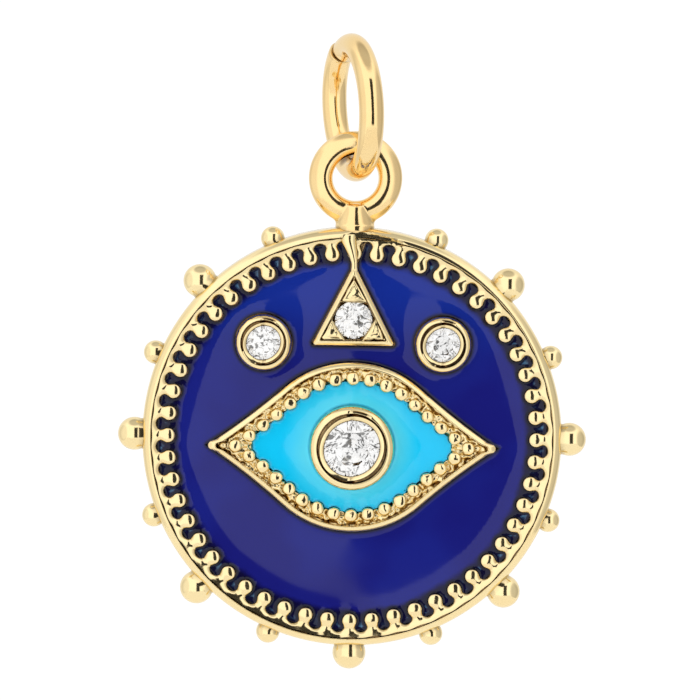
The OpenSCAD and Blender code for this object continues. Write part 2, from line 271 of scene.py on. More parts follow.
def draw_line(points):
    """A new piece that is a line through the points: one point, drawn out step by step. It stays open."""
    clear_selection()
    bpy.ops.mesh.primitive_plane_add(size=0.1)
    start_editing()
    pick_all()
    bpy.ops.mesh.merge(type="CENTER")
    move(points[0])
    for here, there in zip(points, points[1:]):
        step = Vector(there) - Vector(here)
        bpy.ops.mesh.extrude_vertices_move(TRANSFORM_OT_translate={"value": step})
    pick_all()


def turned_piece(section, steps):
    """A piece turned round the Z axis from a section of (radius, height) points."""
    draw_line([(r, 0, z) for r, z in section])
    bpy.ops.mesh.spin(steps=steps, angle=2 * pi, center=(0, 0, 0), axis=(0, 0, 1))
    clean_skin()
    return close_mesh()


def spot(place):
    """A place rounded so that a point on it can be looked up."""
    return tuple(round(c, 5) for c in Vector(place))


def draw_out(rings):
    """Extrudes the selected loop, whose points lie on the first ring's places, from ring to ring."""
    for here, there in zip(rings, rings[1:]):
        extrude_edges()
        places = {spot(a): b for a, b in zip(here, there)}
        mesh = edit_mesh()
        for v in mesh.verts:
            if v.select:
                v.co = places[spot(v.co)]
        keep_edits()


def drawn_out_piece(rings, ends="FILL"):
    """A piece drawn out of a loop, ring by ring. Its ends are filled, or joined to each other."""
    clear_selection()
    bpy.ops.mesh.primitive_circle_add(vertices=len(rings[0]), radius=1)
    start_editing()
    pick_all()
    mesh = edit_mesh()
    mesh.verts.ensure_lookup_table()
    for v, place in zip(mesh.verts, rings[0]):
        v.co = place
    keep_edits()
    if ends == "FILL":
        bpy.ops.mesh.edge_face_add()
    draw_out(rings)
    if ends == "FILL":
        bpy.ops.mesh.edge_face_add()
    else:
        end_spots = {spot(place) for place in rings[0] + rings[-1]}
        pick_points(lambda co: spot(co) in end_spots)
        bpy.ops.mesh.bridge_edge_loops()
    clean_skin()
    return close_mesh()


def joined(pieces):
    """The pieces made into one."""
    pick_piece(pieces[0])
    for piece in pieces:
        piece.select_set(True)
    bpy.ops.object.join()
    return pieces[0]


def repeated(piece, places):
    """Copies of a piece at each matrix, each with its own mesh, joined to one piece."""
    copies = []
    for place in places:
        copy = bpy.data.objects.new(piece.name, piece.data.copy())
        scene.collection.objects.link(copy)
        copy.data.transform(place)
        copies.append(copy)
    bpy.data.objects.remove(piece)
    return joined(copies)


def apply_modifier(piece, kind, **settings):
    pick_piece(piece)
    change = piece.modifiers.new(kind, kind)
    for name, value in settings.items():
        setattr(change, name, value)
    bpy.ops.object.modifier_apply(modifier=change.name)


def uneven(piece, size, height, cuts=0, depth=2):
    """Lumps of a size, raised and sunk by up to half a height, after cutting the faces finer."""
    if cuts:
        open_mesh(piece)
        pick_all()
        bpy.ops.mesh.subdivide(number_cuts=cuts)
        close_mesh()
    lumps = bpy.data.textures.new("lumps", "CLOUDS")
    lumps.noise_scale = size
    lumps.noise_depth = depth
    apply_modifier(piece, "DISPLACE", texture=lumps, texture_coords="LOCAL", strength=height, mid_level=0.5)
    return piece


def add_piece(piece, name, material, crease, body, replaced=(), stand=UPRIGHT):
    """Finishes a piece: its place goes into its mesh, and it gets its finish and its body. Edges that turn by
    more than the crease, in degrees, stay sharp."""
    piece.name = piece.data.name = name
    piece.data.transform(stand)
    piece.data.materials.clear()
    piece.data.materials.append(material)
    pick_piece(piece)
    bpy.ops.object.shade_smooth_by_angle(angle=radians(crease))
    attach(piece, body)
    if replaced:
        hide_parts(*replaced)


def add_casting(piece, name, material, crease, replaced=()):
    """Adds a piece of the pendant's casting."""
    add_piece(piece, name, material, crease, "pendant", replaced)


# Finishes

# The plating's light and warm tones, pale on the face and deeper on loop and ring, and the painted shade that
# darkens its recesses
PALE_GOLD = ((1.0, 0.86, 0.51, 1), (1.0, 0.78, 0.41, 1))
DEEP_GOLD = ((1.0, 0.79, 0.42, 1), (1.0, 0.70, 0.32, 1))
PAINTED_SHADE_TONE = (0.16, 0.075, 0.018, 1)
ENAMEL_IOR = 1.36
STONE_IOR = 2.15


def add_node(tree, kind, inputs=None, **settings):
    """A new shader node with its settings, and its inputs set or linked by name or number."""
    made = tree.nodes.new("ShaderNode" + kind)
    for name, value in settings.items():
        setattr(made, name, value)
    for name, value in (inputs or {}).items():
        if isinstance(value, bpy.types.NodeSocket):
            tree.links.new(value, made.inputs[name])
        else:
            made.inputs[name].default_value = value
    return made


def clouding(tree, place, scale, detail=2.0):
    """A noise from 0 to 1, with spots about 1 / scale wide."""
    return add_node(tree, "TexNoise", {"Vector": place, "Scale": scale, "Detail": detail}).outputs[0]


def worked_out(tree, operation, *values, **settings):
    """The result of a Math node."""
    return add_node(tree, "Math", dict(enumerate(values)), operation=operation, **settings).outputs[0]


def eased(tree, value, start, end, low=0.0, high=1.0):
    """Low before the start and high after the end, with a soft change between them."""
    return add_node(tree, "MapRange", {0: value, 1: start, 2: end, 3: low, 4: high},
                    interpolation_type="SMOOTHSTEP").outputs[0]


def mixed(tree, factor, a, b):
    return add_node(tree, "Mix", {0: factor, 6: a, 7: b}, data_type="RGBA").outputs[2]


def in_millimetres(tree):
    """Object coordinates, scaled so that a texture's scale is per millimetre."""
    place = add_node(tree, "TexCoord").outputs["Object"]
    return add_node(tree, "Mapping", {"Vector": place, "Scale": (1 / MM,) * 3}).outputs[0]


def from_center(tree, x, y):
    """Distance in millimetres on the face from a point of the disc."""
    place = in_millimetres(tree)
    for operation, value in (("SUBTRACT", (LINK_X + x, 0, DISC_C_Z + y)), ("MULTIPLY", (1, 0, 1))):
        place = add_node(tree, "VectorMath", {0: place, 1: value}, operation=operation).outputs[0]
    return add_node(tree, "VectorMath", {0: place}, operation="LENGTH").outputs["Value"]


def painted_shade_mask(tree, reach, strength):
    """1 deep in a recess and 0 in the open, from how much the surroundings hide: where painted shade goes."""
    seen = add_node(tree, "AmbientOcclusion", {"Distance": reach}, samples=6).outputs["AO"]
    return worked_out(tree, "MULTIPLY", worked_out(tree, "SUBTRACT", 1.0, seen), strength, use_clamp=True)


def new_group(name, tones, numbers):
    """An empty node group for a surface's colour, roughness and height, with its inputs and outputs."""
    group = bpy.data.node_groups.new(name, "ShaderNodeTree")
    sockets = [("INPUT", "Color", name) for name in tones] + [("INPUT", "Float", name) for name in numbers]
    sockets += [("OUTPUT", "Color", "Color"), ("OUTPUT", "Float", "Roughness"), ("OUTPUT", "Float", "Height")]
    for direction, kind, socket in sockets:
        group.interface.new_socket(socket, in_out=direction, socket_type="NodeSocket" + kind)
    return group, group.nodes.new("NodeGroupInput").outputs, group.nodes.new("NodeGroupOutput").inputs


def plating_group():
    """Plated metal: two close tones in patches, painted shade darkening its recesses, uneven polish, ripples
    and grain.
    """
    group, given, result = new_group("plating", ["Light Tone", "Warm Tone", "Painted Shade Tone"],
                                     ["Painted Shade Reach", "Painted Shade Strength", "Polish", "Dulling", "Grain"])
    place = in_millimetres(group)
    tone = mixed(group, clouding(group, place, 0.9, 3.0), given["Light Tone"], given["Warm Tone"])
    # painted shade: the colour turns dark brown where the surroundings hide the surface
    hidden = painted_shade_mask(group, given["Painted Shade Reach"], given["Painted Shade Strength"])
    group.links.new(mixed(group, hidden, tone, given["Painted Shade Tone"]), result["Color"])
    smears = clouding(group, place, 2.6, 4.0)
    dull = worked_out(group, "MULTIPLY_ADD", smears, given["Dulling"], given["Polish"])
    group.links.new(dull, result["Roughness"])
    ripple = clouding(group, place, 1.6)
    grain = clouding(group, place, 11.0, 3.0)
    group.links.new(worked_out(group, "MULTIPLY_ADD", grain, given["Grain"], ripple), result["Height"])
    return group


def enamel_group():
    """Glossy enamel: it clouds softly, has painted light towards the top and painted shade against the
    metal, and has a ring-shaped zone of its own tone, which on the dark blue is painted shade by the rim's
    teeth, with painted highlights in patches beyond it."""
    group, given, result = new_group(
        "enamel_body", ["Color", "Cloud", "Edge Shade Tone", "Outer Tone And Shade", "Gap Highlight Tone", "Top Light Tone"],
        ["Edge Shade Width", "From Metal", "From Center", "Zone Start", "Zone End", "Gap Highlight Start", "Upper Start",
         "Upper End"])
    place = in_millimetres(group)
    clouds = clouding(group, place, 0.22)
    body = mixed(group, eased(group, clouds, 0.4, 0.62), given["Color"], given["Cloud"])
    up = add_node(group, "SeparateXYZ", {0: place}).outputs[2]
    # painted light: the enamel turns lighter and bluer towards the top
    body = mixed(group, eased(group, up, given["Upper Start"], given["Upper End"]), body, given["Top Light Tone"])
    # the zone's edge wanders by up to 0.35 millimetres
    out = worked_out(group, "MULTIPLY_ADD", clouding(group, place, 1.1), 0.35, given["From Center"])
    # on the dark blue this zone is painted shade beside the rim's teeth; on the light blue it is a darker
    # tone further from the centre stone
    body = mixed(group, eased(group, out, given["Zone Start"], given["Zone End"]), body, given["Outer Tone And Shade"])
    # painted highlights: lighter teal patches in the enamel between the rim's teeth
    gap_highlight_end = worked_out(group, "ADD", given["Gap Highlight Start"], 0.2)
    beyond = eased(group, given["From Center"], given["Gap Highlight Start"], gap_highlight_end)
    inside = eased(group, given["From Metal"], 0.08, 0.17)
    spots = eased(group, clouding(group, place, 3.4, 1.0), 0.42, 0.6)
    gap_highlight = worked_out(group, "MULTIPLY", worked_out(group, "MULTIPLY", beyond, inside), spots)
    body = mixed(group, gap_highlight, body, given["Gap Highlight Tone"])
    # painted shade: the enamel turns darker close to the metal
    edge_shade = eased(group, given["From Metal"], 0.01, given["Edge Shade Width"], 1, 0)
    group.links.new(mixed(group, edge_shade, body, given["Edge Shade Tone"]), result["Color"])
    group.links.new(eased(group, clouds, 0, 1, 0.02, 0.07), result["Roughness"])
    group.links.new(clouding(group, place, 0.3, 1.0), result["Height"])
    return group


plating = plating_group()
enamel_body = enamel_group()


def new_material(name):
    """A new material, its node tree and its shader's inputs."""
    material = bpy.data.materials.new(name)
    material.use_nodes = True
    return material, material.node_tree, material.node_tree.nodes["Principled BSDF"].inputs


def add_relief(tree, shader, height, strength, depth):
    """Bump from a height, with its depth in millimetres."""
    relief = add_node(tree, "Bump", {"Height": height, "Strength": strength, "Distance": depth * MM})
    tree.links.new(relief.outputs[0], shader["Normal"])


def add_surface(tree, shader, group, values, bump, depth):
    """Places a group with its own values and gives its colour, roughness and height to the shader."""
    surface = add_node(tree, "Group", values, node_tree=group).outputs
    tree.links.new(surface["Color"], shader["Base Color"])
    tree.links.new(surface["Roughness"], shader["Roughness"])
    add_relief(tree, shader, surface["Height"], bump, depth)


def gold(name, grain, bump, polish, dulling, strength=1.4, reach=0.22, tones=PALE_GOLD):
    """Plating with painted shade darkening its recesses, up to a reach in millimetres wide."""
    material, tree, shader = new_material(name)
    shader["Metallic"].default_value = 1.0
    add_surface(tree, shader, plating,
                {"Light Tone": tones[0], "Warm Tone": tones[1], "Painted Shade Tone": PAINTED_SHADE_TONE,
                 "Painted Shade Reach": reach * MM, "Painted Shade Strength": strength, "Polish": polish,
                 "Dulling": dulling, "Grain": grain}, bump, 0.02)
    return material


def enamel(name, center, values):
    """Enamel with its zones round a point of the disc."""
    material, tree, shader = new_material(name)
    shader["IOR"].default_value = ENAMEL_IOR
    from_metal = add_node(tree, "Attribute", attribute_name="from_metal").outputs["Fac"]
    places = {"From Metal": from_metal, "From Center": from_center(tree, *center)}
    add_surface(tree, shader, enamel_body, {**values, **places}, 0.05, 0.2)
    return material


def stone_glass():
    """Clear stone with a breath of colour, of wear and of waves in its faces."""
    material, tree, shader = new_material("clear_stone")
    shader["Transmission Weight"].default_value = 1.0
    shader["IOR"].default_value = STONE_IOR
    place = in_millimetres(tree)
    specks = clouding(tree, place, 3.0)
    tree.links.new(mixed(tree, specks, (1.0, 1.0, 1.0, 1), (0.95, 0.97, 1.0, 1)), shader["Base Color"])
    wear = add_node(tree, "MapRange", {0: specks, 3: 0.0, 4: 0.02}).outputs[0]
    tree.links.new(wear, shader["Roughness"])
    add_relief(tree, shader, clouding(tree, place, 3.5, 0.0), 0.025, 0.02)
    return material


# strength and reach set how strongly and how far painted shade darkens each plating's recesses
cast_gold = gold("casting_gold", grain=0.12, bump=0.25, polish=0.07, dulling=0.08, strength=1.1)
grained_gold = gold("grained_gold", grain=0.4, bump=0.35, polish=0.08, dulling=0.1, strength=0.5, reach=0.15)
loop_gold = gold("loop_gold", grain=0.12, bump=0.3, polish=0.07, dulling=0.08, tones=DEEP_GOLD)
setting_gold = gold("setting_gold", grain=0.12, bump=0.25, polish=0.07, dulling=0.08, strength=2.0, reach=0.2)
wire_gold = gold("ring_gold", grain=0.2, bump=0.35, polish=0.05, dulling=0.08, tones=DEEP_GOLD)
dark_blue = enamel("dark_blue_enamel", (0, 0), {
    "Color": (0.009, 0.010, 0.175, 1), "Cloud": (0.010, 0.015, 0.215, 1),
    # painted shade against the metal
    "Edge Shade Tone": (0.006, 0.006, 0.018, 1), "Edge Shade Width": 0.18,
    # painted shade in a zone beside the rim's teeth
    "Zone Start": 7.08, "Zone End": 7.4, "Outer Tone And Shade": (0.004, 0.003, 0.038, 1),
    # painted highlights in the gaps between the teeth
    "Gap Highlight Start": 7.3, "Gap Highlight Tone": (0.08, 0.19, 0.33, 1),
    # painted light towards the top
    "Upper Start": DISC_C_Z + 2.5, "Upper End": DISC_C_Z + 6.0, "Top Light Tone": (0.007, 0.025, 0.28, 1)})
light_blue = enamel("light_blue_enamel", (0, CENTER_Y), {
    "Color": (0.10, 0.74, 1.0, 1), "Cloud": (0.06, 0.67, 1.0, 1),
    # painted shade against the metal
    "Edge Shade Tone": (0.03, 0.45, 0.74, 1), "Edge Shade Width": 0.08,
    # a darker tone further from the centre stone
    "Zone Start": 1.8, "Zone End": 3.1, "Outer Tone And Shade": (0.006, 0.57, 0.97, 1),
    "Gap Highlight Start": 9.0, "Gap Highlight Tone": (0.003, 0.55, 0.93, 1),
    "Upper Start": 0.0, "Upper End": 1.0, "Top Light Tone": (0.01, 0.58, 0.95, 1)})
clear_stone = stone_glass()


# The rim

# The groove inside the rail is a hair off the disc's middle
GROOVE_SHIFT = (0, -0.04, 0)
# Right of the tab the rim is filed flat and faces a little to the right; the flat narrows along its length
FLAT_START_X = -0.1
FLAT_END_X = 1.95
FLAT_TILT = 0.045
# The toothed lip's crest wanders round one radius, and stays outside the other
CREST_R = BAND_OUT_R - 0.04
CREST_IN_R = BAND_OUT_R - 0.065
# How far the balls run into the rim
BALL_ROOT = 0.2


def file_flat(out_r, in_r, out_taper, in_taper, low_z, flat_z):
    """Files what stands higher than low_z flat between two radii right of the tab, in edit mode."""
    def on_flat(co):
        share = co.x / FLAT_END_X
        return (co.y > 0 and FLAT_START_X < co.x < FLAT_END_X and co.z > low_z
                and in_r + in_taper * share < hypot(co.x, co.y) < out_r - out_taper * share)
    pick_points(on_flat)
    stretch((1, 1, 0), (0, DISC_R, flat_z))
    mesh = edit_mesh()
    for v in mesh.verts:
        if v.select:
            v.co.z -= FLAT_TILT * v.co.x
    keep_edits()


def shoulder(outer, inner, low, high, crest, steps=12):
    """Section of a rail whose crest lies at its inner edge: a broad outer slope, then a small round crest.
    It runs from (outer, low) over the top, just under high, to just under the crest at the inner radius."""
    end = radians(78)
    wide = (outer - inner - 1.3 * crest) / (1 - cos(end))
    tall = high - low
    points = []
    for k in range(steps + 1):
        turn = end * k / steps
        points.append((outer - wide + wide * cos(turn), low + tall * sin(turn)))
    start = atan2(sin(end) / tall, cos(end) / wide)
    center = Vector(points[-1]) - crest * Vector((cos(start), sin(start)))
    for k in range(1, 6):
        turn = start + (pi - start) * k / 5
        points.append((center.x + crest * cos(turn), center.y + crest * sin(turn)))
    return points


def ridge_section(width, top):
    """Section of a narrow rail as (inset, height), from its outer edge up to a crest at its inner edge."""
    return [(0, top - 0.17), (0.008, top - 0.145), (0.03, top - 0.12), (0.35 * width, top - 0.07),
            (0.65 * width, top - 0.025), (width - 0.04, top - 0.003), (width - 0.02, top),
            (width - 0.006, top - 0.01), (width, top - 0.03), (width + 0.002, top - 0.07)]


def rim_and_plate():
    """Back plate and smooth rail, with the seat of the toothed lip inside the rail."""
    seat_z = ENAMEL_Z + 0.17
    seat_r = BAND_OUT_R - 0.1
    edge_r = DISC_R - BACK_EDGE_R
    section = [(0, 0), (edge_r, 0)]
    for degrees in range(-72, 1, 18):
        a = radians(degrees)
        section.append((edge_r + BACK_EDGE_R * cos(a), BACK_EDGE_R + BACK_EDGE_R * sin(a)))
    section += shoulder(DISC_R, BAND_OUT_R + 0.01, RAIL_Z - 0.5, RAIL_Z, crest=0.02)
    section += [(section[-1][0] - 0.004, seat_z), (seat_r, seat_z - 0.02), (seat_r, PLATE_T), (0, PLATE_T)]
    open_mesh(turned_piece(section, 4 * TOOTH_N))
    file_flat(DISC_R - 0.15, BAND_OUT_R - 0.02, out_taper=0.16, in_taper=0, low_z=RAIL_Z - 0.13,
              flat_z=RAIL_Z - 0.1)
    pick_points(lambda co: hypot(co.x, co.y) < BAND_OUT_R + 0.06 and co.z > ENAMEL_Z)
    move(GROOVE_SHIFT)
    return close_mesh()


def lip_paths(steps=7):
    """Paths of one pitch of the toothed lip, from its foot in the enamel up to its ridge. Each path runs from
    the middle of one gap round the tooth, which points to -Y, to the middle of the next."""
    half_step = pi / TOOTH_N
    ball_r = TOOTH_D / 2 + 0.02
    ball_y = TOOTH_R + 0.015
    gap_r = 0.25
    gap_c = (BAND_IN_R - gap_r) * Vector((sin(half_step), cos(half_step)))
    edge = []
    for degrees in range(0, 128, 12):
        a = radians(degrees)
        edge.append(Vector((ball_r * sin(a), ball_y - ball_r * cos(a))))
    start, end = radians(160), pi / 2 - half_step
    for k in range(10):
        a = start + (end - start) * k / 9
        edge.append(gap_c + gap_r * Vector((cos(a), sin(a))))
    # how far out along the tooth's middle the ridge above each point of the edge lies
    outs = [0] * 8 + [0.05, 0.11, 0.18, 0.28, 0.38, 0.5]
    ridge = [Vector((0, ball_y + out)) for out in outs]
    for k in range(7):
        turn = half_step * k / 6
        r = CREST_R - 0.02 * cos(pi * k / 6)
        ridge.append(r * Vector((sin(turn), cos(turn))))
    # how far the ridge lies under the teeth's top, and how high the slope up to it is
    drops = [0] * 8 + [0.004, 0.015, 0.033, 0.06, 0.07, 0.045] + [0.01] * 7
    walls = [0.15] * 11 + [0.18, 0.22, 0.26] + [0.28] * 7
    # how far round its arc the slope from the edge up to each point of the ridge goes: 90 degrees is a dome
    bends = [radians(90)] * 11 + [radians(78), radians(62), radians(46)] + [radians(32)] * 7
    paths = []
    for k in range(-1, steps + 1):
        half = []
        for e, r, drop, bend, wall in zip(edge, ridge, drops, bends, walls):
            turn = bend * max(k, 0) / steps
            flat = e.lerp(r, (1 - cos(turn)) / (1 - cos(bend)))
            rise = (sin(turn) / sin(bend)) ** 0.58
            half.append(Vector((flat.x, flat.y, ROOT_Z if k < 0 else TOOTH_Z - drop - wall * (1 - rise))))
        paths.append([Vector((-p.x, p.y, p.z)) for p in half[:0:-1]] + half)
    return paths


def lip_pitch():
    paths = lip_paths()
    draw_line(paths[0])
    draw_out(paths)
    merge_all(PITCH_MERGE_GAP)
    # over the crest and down inside the rail
    pick_points(lambda co: hypot(co.x, co.y) > CREST_IN_R and co.z > BAND_Z - 0.02)
    extrude_edges()
    grow = BAND_OUT_R / CREST_R
    stretch((grow, grow, 1))
    lift(-0.1)
    extrude_edges()
    lift(-0.4)
    return close_mesh()


def toothed_lip():
    """The low lip inside the rail with its drop-shaped teeth, one of them mostly hidden under the tab."""
    places = [Matrix.Rotation(-2 * pi * k / TOOTH_N, 4, "Z") for k in range(TOOTH_N)]
    open_mesh(repeated(lip_pitch(), places))
    merge_all(LIP_MERGE_GAP)
    pick_edges(lambda e: e.is_boundary)
    bpy.ops.mesh.bridge_edge_loops()
    clean_skin()
    file_flat(BAND_OUT_R, BAND_IN_R + 0.01, out_taper=0, in_taper=0.1, low_z=BAND_Z - 0.25,
              flat_z=BAND_Z - 0.03)
    pick_points(lambda co: hypot(co.x, co.y) > CREST_IN_R and co.z > ENAMEL_Z - 0.3)
    move(GROOVE_SHIFT)
    return close_mesh()


def start_ball(segments, ring_count, radius):
    clear_selection()
    bpy.ops.mesh.primitive_uv_sphere_add(segments=segments, ring_count=ring_count, radius=radius)
    start_editing()
    pick_all()


def rim_ball(d, out):
    """A ball that runs into the rim on its -Y side."""
    start_ball(36, 24, d / 2)
    rotate("X", pi / 2)
    pick_points(lambda co: co.y < -out)
    bpy.ops.mesh.delete(type="VERT")
    mesh = edit_mesh()
    y = min(v.co.y for v in mesh.verts)
    pick_points(lambda co: co.y < y + 0.001)
    extrude_edges()
    move((0, -out - BALL_ROOT - y, 0))
    bpy.ops.mesh.edge_face_add()
    clean_skin()
    return close_mesh()


def rim_balls(d, out, first):
    places = [Matrix.Rotation(-2 * pi * k / BALL_N, 4, "Z") @ Matrix.Translation((0, DISC_R + out, MID_Z))
              for k in range(first, BALL_N, 2)]
    return repeated(rim_ball(d, out), places)


add_casting(rim_and_plate(), "rim_and_plate", cast_gold, 35, ["casting"])
add_casting(uneven(toothed_lip(), 0.6, 0.032), "toothed_lip", cast_gold, 65)
add_casting(rim_balls(LARGE_BALL_D, LARGE_BALL_OUT, 2), "large_rim_balls", cast_gold, 60)
add_casting(rim_balls(SMALL_BALL_D, SMALL_BALL_OUT, 1), "small_rim_balls", cast_gold, 60)


# The eye's border

# A lid is a round middle part and a hollow part that runs out to the tip; they meet at the knee
KNEE = Vector((EYE_W / 2 * KNEE_SHARE[0], EYE_H / 2 * KNEE_SHARE[1]))
LID_SLOPE = 2 * atan((EYE_H / 2 - KNEE.y) / KNEE.x)
LID_R = KNEE.x / sin(LID_SLOPE)
HOLLOW_CHORD = hypot(EYE_W / 2 - KNEE.x, KNEE.y)
HOLLOW_SLOPE = atan(KNEE.y / (EYE_W / 2 - KNEE.x))
HOLLOW_R = HOLLOW_CHORD / (2 * sin(LID_SLOPE - HOLLOW_SLOPE))
HOLLOW_C = KNEE + HOLLOW_R * Vector((sin(LID_SLOPE), cos(LID_SLOPE)))


def tip_slope(inset):
    return acos(HOLLOW_C.y / (HOLLOW_R + inset))


def lid_length(inset):
    return (LID_R - inset) * LID_SLOPE + (HOLLOW_R + inset) * (LID_SLOPE - tip_slope(inset))


def lid_point(inset, along):
    """Point on a lid's line at the given inset, at a distance along it from the middle."""
    round_len = (LID_R - inset) * LID_SLOPE
    if along < round_len:
        turn = along / (LID_R - inset)
        return Vector(((LID_R - inset) * sin(turn), EYE_H / 2 - LID_R + (LID_R - inset) * cos(turn)))
    turn = LID_SLOPE - (along - round_len) / (HOLLOW_R + inset)
    return HOLLOW_C - (HOLLOW_R + inset) * Vector((sin(turn), cos(turn)))


# The rail's rounded end stands out a little past where the lids' curves would carry it
TIP_PUSH = 0.12


def eye_ring(inset, z, half_w=EYE_W, steps=44, tip_steps=6):
    """Points of the eye's outline at an inset, with a rounded tip, cut off at a half width."""
    rounding = max(1.35 * TIP_ROUNDING - 0.35 * inset, 0.08)
    slope = tip_slope(inset)
    length = lid_length(inset)
    tip = lid_point(inset, length).x
    bare = length - rounding / tan(slope)
    quarter = [lid_point(inset, bare * k / steps) for k in range(steps)]
    middle = tip - rounding / sin(slope)
    for k in range(tip_steps + 1):
        a = (pi / 2 - slope) * (1 - k / tip_steps)
        quarter.append(Vector((middle + TIP_PUSH + rounding * cos(a), rounding * sin(a))))
    upper = quarter + [Vector((p.x, -p.y)) for p in quarter[-2:0:-1]]
    outline = upper + [Vector((0, -quarter[0].y))]
    outline += [Vector((-p.x, p.y)) for p in upper[:0:-1]]
    return [(max(-half_w, min(half_w, p.x)), p.y + EYE_C_Y, z) for p in outline]


def eye_lid_rail():
    """Smooth rail round the eye, with its crest at its inner edge."""
    rings = [eye_ring(0, ROOT_Z)]
    rings += [eye_ring(inset, z) for inset, z in ridge_section(LID_RAIL_W + 0.04, ENAMEL_Z + LID_RAIL_RISE)]
    rings += [eye_ring(LID_RAIL_W + 0.05, z) for z in (LEDGE_Z, ROOT_Z)]
    return drawn_out_piece(rings, ends="JOIN")


def eye_ledge():
    """Grained ledge inside the rail that the beads stand on."""
    half_w = EYE_W / 2 - TIP_LEN
    rings = [eye_ring(LID_RAIL_W, ROOT_Z)]
    for inset, rise in ((0, -0.03), (0.07, -0.04), (0.15, 0.02), (0.25, 0.04)):
        rings.append(eye_ring(LID_RAIL_W + inset, LEDGE_Z + rise))
    for outset, rise, longer in ((0.22, 0.02, 0.2), (0.1, 0, 0.1), (0.03, -0.03, 0.03), (0, -0.1, 0)):
        rings.append(eye_ring(LID_W - outset, LEDGE_Z + rise, half_w + longer))
    rings.append(eye_ring(LID_W, ROOT_Z, half_w))
    return drawn_out_piece(rings, ends="JOIN")


# Shares of the ball's width and height that a bead has
BEAD_SPREAD = 1.04
BEAD_SQUASH = 0.52


def bead():
    """One milgrain bead: a flattened ball whose lower half is drawn down into the ledge."""
    r = BEAD_D / 2
    start_ball(20, 12, r)
    pick_points(lambda co: co.z < -0.01)
    bpy.ops.mesh.delete(type="VERT")
    pick_points(lambda co: co.z < 0.01)
    extrude_edges()
    lift(ROOT_Z - BEAD_Z + r)
    bpy.ops.mesh.edge_face_add()
    pick_points(lambda co: co.z > -0.02)
    stretch((BEAD_SPREAD, BEAD_SPREAD, BEAD_SQUASH), (0, 0, r))
    clean_skin()
    return close_mesh()


def milgrain_beads():
    places = []
    step = lid_length(BEAD_IN) / BEAD_N
    middle_z = BEAD_Z - BEAD_D / 2
    for k in range(BEAD_N + 1):
        on_lid = lid_point(BEAD_IN, k * step)
        for across in ((1,) if k == 0 else (-1, 1)):
            for up in ((1,) if k == BEAD_N else (-1, 1)):
                change = 1 + 0.05 * noise.noise((k * 1.7, across * 3.1, up * 2.3))
                places.append(Matrix.Translation((across * on_lid.x, up * on_lid.y + EYE_C_Y, middle_z))
                              @ Matrix.Diagonal((change, change, 1, 1)))
    # one small bead more in the left tip
    places.append(Matrix.Translation((-on_lid.x - 0.5, EYE_C_Y, middle_z - 0.02))
                  @ Matrix.Diagonal((0.6, 0.6, 1, 1)))
    return repeated(bead(), places)


add_casting(eye_lid_rail(), "eye_lid_rail", cast_gold, 60)
add_casting(uneven(eye_ledge(), 0.2, 0.24, cuts=3, depth=0), "eye_ledge", grained_gold, 60)
add_casting(uneven(milgrain_beads(), 0.28, 0.09), "milgrain_beads", cast_gold, 60)


# The bezels

# How far outside the stone the groove lies, and the share of its width that the lip keeps on one slant
GROOVE_OUT = 0.125
LIP_OVAL = 0.93


def bezel(stone_d, outer_r, girdle_z, x, y, over, worn=False):
    """Outer band that rises to a crest at its inner edge, a groove, a lip that slopes down to the stone and
    covers its edge, and the seat under it. A worn one's groove is nearly closed at the lower left."""
    stone_r = stone_d / 2
    window_r = stone_r - over
    groove_r = stone_r + GROOVE_OUT
    top_z = girdle_z + LIP_RISE
    seat_z = girdle_z - GIRDLE_T - FIT_GAP
    culet_z = max(seat_z - stone_r * tan(radians(PAVILION_SLOPE)), ROOT_Z + 0.02)
    section = [(0, ROOT_Z), (outer_r, ROOT_Z), (outer_r, top_z - 0.36)]
    section += shoulder(outer_r, groove_r + 0.045, top_z - 0.3, top_z, crest=0.02)
    # the groove's floor and the lip, by how far in and how far down each point lies
    section += [(groove_r - inset, top_z - drop) for inset, drop in
                ((0.004, 0.15), (0.014, 0.15), (0.018, 0.06), (0.03, 0.045), (0.05, 0.05))]
    section += [(window_r + out, top_z - drop) for out, drop in
                ((0.02, 0.105), (-0.01, 0.125), (-0.02, 0.15))]
    section += [(window_r, girdle_z + 0.05), (stone_r + FIT_GAP, girdle_z + 0.03),
                (stone_r + FIT_GAP, seat_z), (0.3 * stone_r, culet_z), (0, culet_z)]

    def on_lip(co):
        return co.z > top_z - 0.19 and hypot(co.x, co.y) < groove_r - 0.01

    def turned_to(co, start, end):
        return radians(start) < atan2(co.y, co.x) < radians(end)

    open_mesh(turned_piece(section, 96))
    # the lip is a little oval, slantwise, and dips at its top and bottom
    pick_points(on_lip)
    rotate("Z", -pi / 4)
    stretch((LIP_OVAL, 1, 1))
    rotate("Z", pi / 4)
    pick_points(lambda co: on_lip(co) and abs(co.x) < 0.07)
    lift(-0.06)
    # a nick in the band's crest
    nick_out_r = groove_r + 0.5 * (outer_r - groove_r)
    pick_points(lambda co: groove_r + 0.03 < hypot(co.x, co.y) < nick_out_r and co.z > top_z - 0.09
                and turned_to(co, 60, 91))
    lift(-0.07)
    if worn:
        pick_points(lambda co: 0.9 * groove_r < hypot(co.x, co.y) < groove_r + 0.001
                    and top_z - 0.17 < co.z < top_z - 0.1 and turned_to(co, -158, -108))
        lift(0.1)
    piece = close_mesh()
    piece.data.transform(Matrix.Translation((x, y, 0)))
    return piece


band = bezel(CENTER_D, CENTER_BEZEL_R, ENAMEL_Z + CENTER_RISE, 0, CENTER_Y, CENTER_OVER)
add_casting(band, "center_bezel", setting_gold, 50)
for side, name in ((-1, "left_bezel"), (1, "right_bezel")):
    band = bezel(SMALL_D, SIDE_BEZEL_R, ENAMEL_Z + SIDE_RISE, side * SIDE_X, SIDE_Y, SIDE_OVER, worn=True)
    add_casting(band, name, setting_gold, 50)


# The triangle setting

